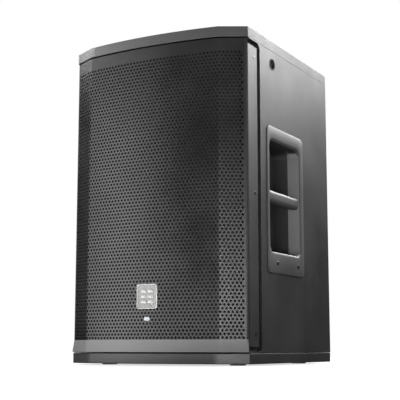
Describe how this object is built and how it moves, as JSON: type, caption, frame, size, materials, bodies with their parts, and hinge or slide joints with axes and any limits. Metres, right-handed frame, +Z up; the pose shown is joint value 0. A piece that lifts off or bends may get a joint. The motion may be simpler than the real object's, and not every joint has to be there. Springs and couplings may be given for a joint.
{
  "type": "pa loudspeaker",
  "caption": "Powered two-way PA loudspeaker: plywood cabinet with a bowed perforated grille, side handles, a pole socket underneath and an amplifier panel sunk in the back.",
  "frame": {"origin": "on the floor, at the middle of the bounding box seen from above", "axes": "+Z up, the grille faces -Y, +X is the loudspeaker's left-hand side as it faces its listeners"},
  "size_m": [0.3796, 0.4205, 0.612],
  "materials": {
    "textured_paint": "hard black textured coating on birch plywood",
    "birch_ply": "bare birch plywood",
    "grille_steel": "satin black powder coat",
    "foam": "open-cell black foam",
    "badge_metal": "brushed",
    "lens": "clear white light pipe",
    "handle_plastic": "moulded black, lightly grained",
    "cast_frame": "cast, black painted",
    "magnet_steel": "ferrite and plated steel",
    "copper": "enamelled copper winding",
    "paper": "pulp, coated",
    "cloth": "doped cloth",
    "spider_cloth": "phenolic cloth",
    "moulded_plastic": "moulded black",
    "panel_aluminium": "black powder coat",
    "sink_aluminium": "black anodised",
    "zinc_sheet": "zinc plated",
    "circuit_board": "green solder mask",
    "display_plastic": "smoked display window",
    "knob_plastic": "moulded black",
    "socket_plastic": "glass-filled black",
    "latch_metal": "nickel plated",
    "rocker_plastic": "moulded red",
    "foot_rubber": "matt",
    "wadding": "polyester fibre",
    "black_steel": "black oxide"
  },
  "bodies": {
    "cabinet": {"top_panel": "textured_paint", "bottom_panel": "textured_paint", "left_side_panel": "textured_paint", "right_side_panel": "textured_paint", "back_panel": "textured_paint", "front_baffle": "birch_ply", "window_brace": "birch_ply", "front_grille": "grille_steel", "grille_foam": "foam", "badge_plate": "badge_metal", "status_light_lens": "lens", "left_handle_cup": "handle_plastic", "left_handle_grip": "handle_plastic", "right_handle_cup": "handle_plastic", "right_handle_grip": "handle_plastic", "woofer_basket": "cast_frame", "woofer_magnet": "magnet_steel", "woofer_surround": "cloth", "woofer_spider": "spider_cloth", "horn_waveguide": "moulded_plastic", "compression_driver": "magnet_steel", "left_port_tube": "moulded_plastic", "right_port_tube": "moulded_plastic", "amp_panel": "panel_aluminium", "heat_sink": "sink_aluminium", "amp_back_cover": "zinc_sheet", "amplifier_board": "circuit_board", "power_transformer": "copper", "display_window": "display_plastic", "input_1_socket": "socket_plastic", "input_2_socket": "socket_plastic", "link_output_socket": "socket_plastic", "mains_inlet": "socket_plastic", "power_switch_frame": "socket_plastic", "pole_socket": "moulded_plastic", "damping_pad": "wadding", "foot_front_left": "foot_rubber", "foot_front_right": "foot_rubber", "foot_back_left": "foot_rubber", "foot_back_right": "foot_rubber", "side_rigging_point_left": "black_steel", "top_rigging_point_left": "black_steel", "grille_screw_left_low": "black_steel", "grille_screw_left_middle": "black_steel", "grille_screw_left_high": "black_steel", "side_rigging_point_right": "black_steel", "top_rigging_point_right": "black_steel", "grille_screw_right_low": "black_steel", "grille_screw_right_middle": "black_steel", "grille_screw_right_high": "black_steel"},
    "woofer_moving_parts": {"woofer_cone": "paper", "woofer_dust_cap": "paper", "woofer_voice_coil": "copper"},
    "input_1_knob": {"input_1_level_knob": "knob_plastic"},
    "input_2_knob": {"input_2_level_knob": "knob_plastic"},
    "menu_dial": {"menu_knob": "knob_plastic", "menu_knob_shaft": "zinc_sheet"},
    "input_1_latch": {"input_1_latch_tab": "latch_metal"},
    "input_2_latch": {"input_2_latch_tab": "latch_metal"},
    "rocker": {"power_rocker": "rocker_plastic"}
  },
  "joints": [
    {"name": "cone_travel", "type": "slide", "parent": "cabinet", "child": "woofer_moving_parts", "axis": [0, -1, 0], "range_m": [-0.006, 0.006], "stiffness_N_per_m": 5000},
    {"name": "input_1_level", "type": "hinge", "parent": "cabinet", "child": "input_1_knob", "pos_m": [-0.06, 0.1953, 0.431], "axis": [0, 1, 0], "range_deg": [-150, 150]},
    {"name": "input_2_level", "type": "hinge", "parent": "cabinet", "child": "input_2_knob", "pos_m": [0.06, 0.1953, 0.431], "axis": [0, 1, 0], "range_deg": [-150, 150]},
    {"name": "menu_turn", "type": "hinge", "parent": "cabinet", "child": "menu_dial", "pos_m": [0.066, 0.1953, 0.473], "axis": [0, 1, 0], "continuous": true},
    {"name": "input_1_release", "type": "slide", "parent": "cabinet", "child": "input_1_latch", "axis": [0, -1, 0], "range_m": [0, 0.0014], "stiffness_N_per_m": 600},
    {"name": "input_2_release", "type": "slide", "parent": "cabinet", "child": "input_2_latch", "axis": [0, -1, 0], "range_m": [0, 0.0014], "stiffness_N_per_m": 600},
    {"name": "power_rock", "type": "hinge", "parent": "cabinet", "child": "rocker", "pos_m": [0.052, 0.1953, 0.331], "axis": [0, 0, 1], "range_deg": [-16, 0]}
  ]
}
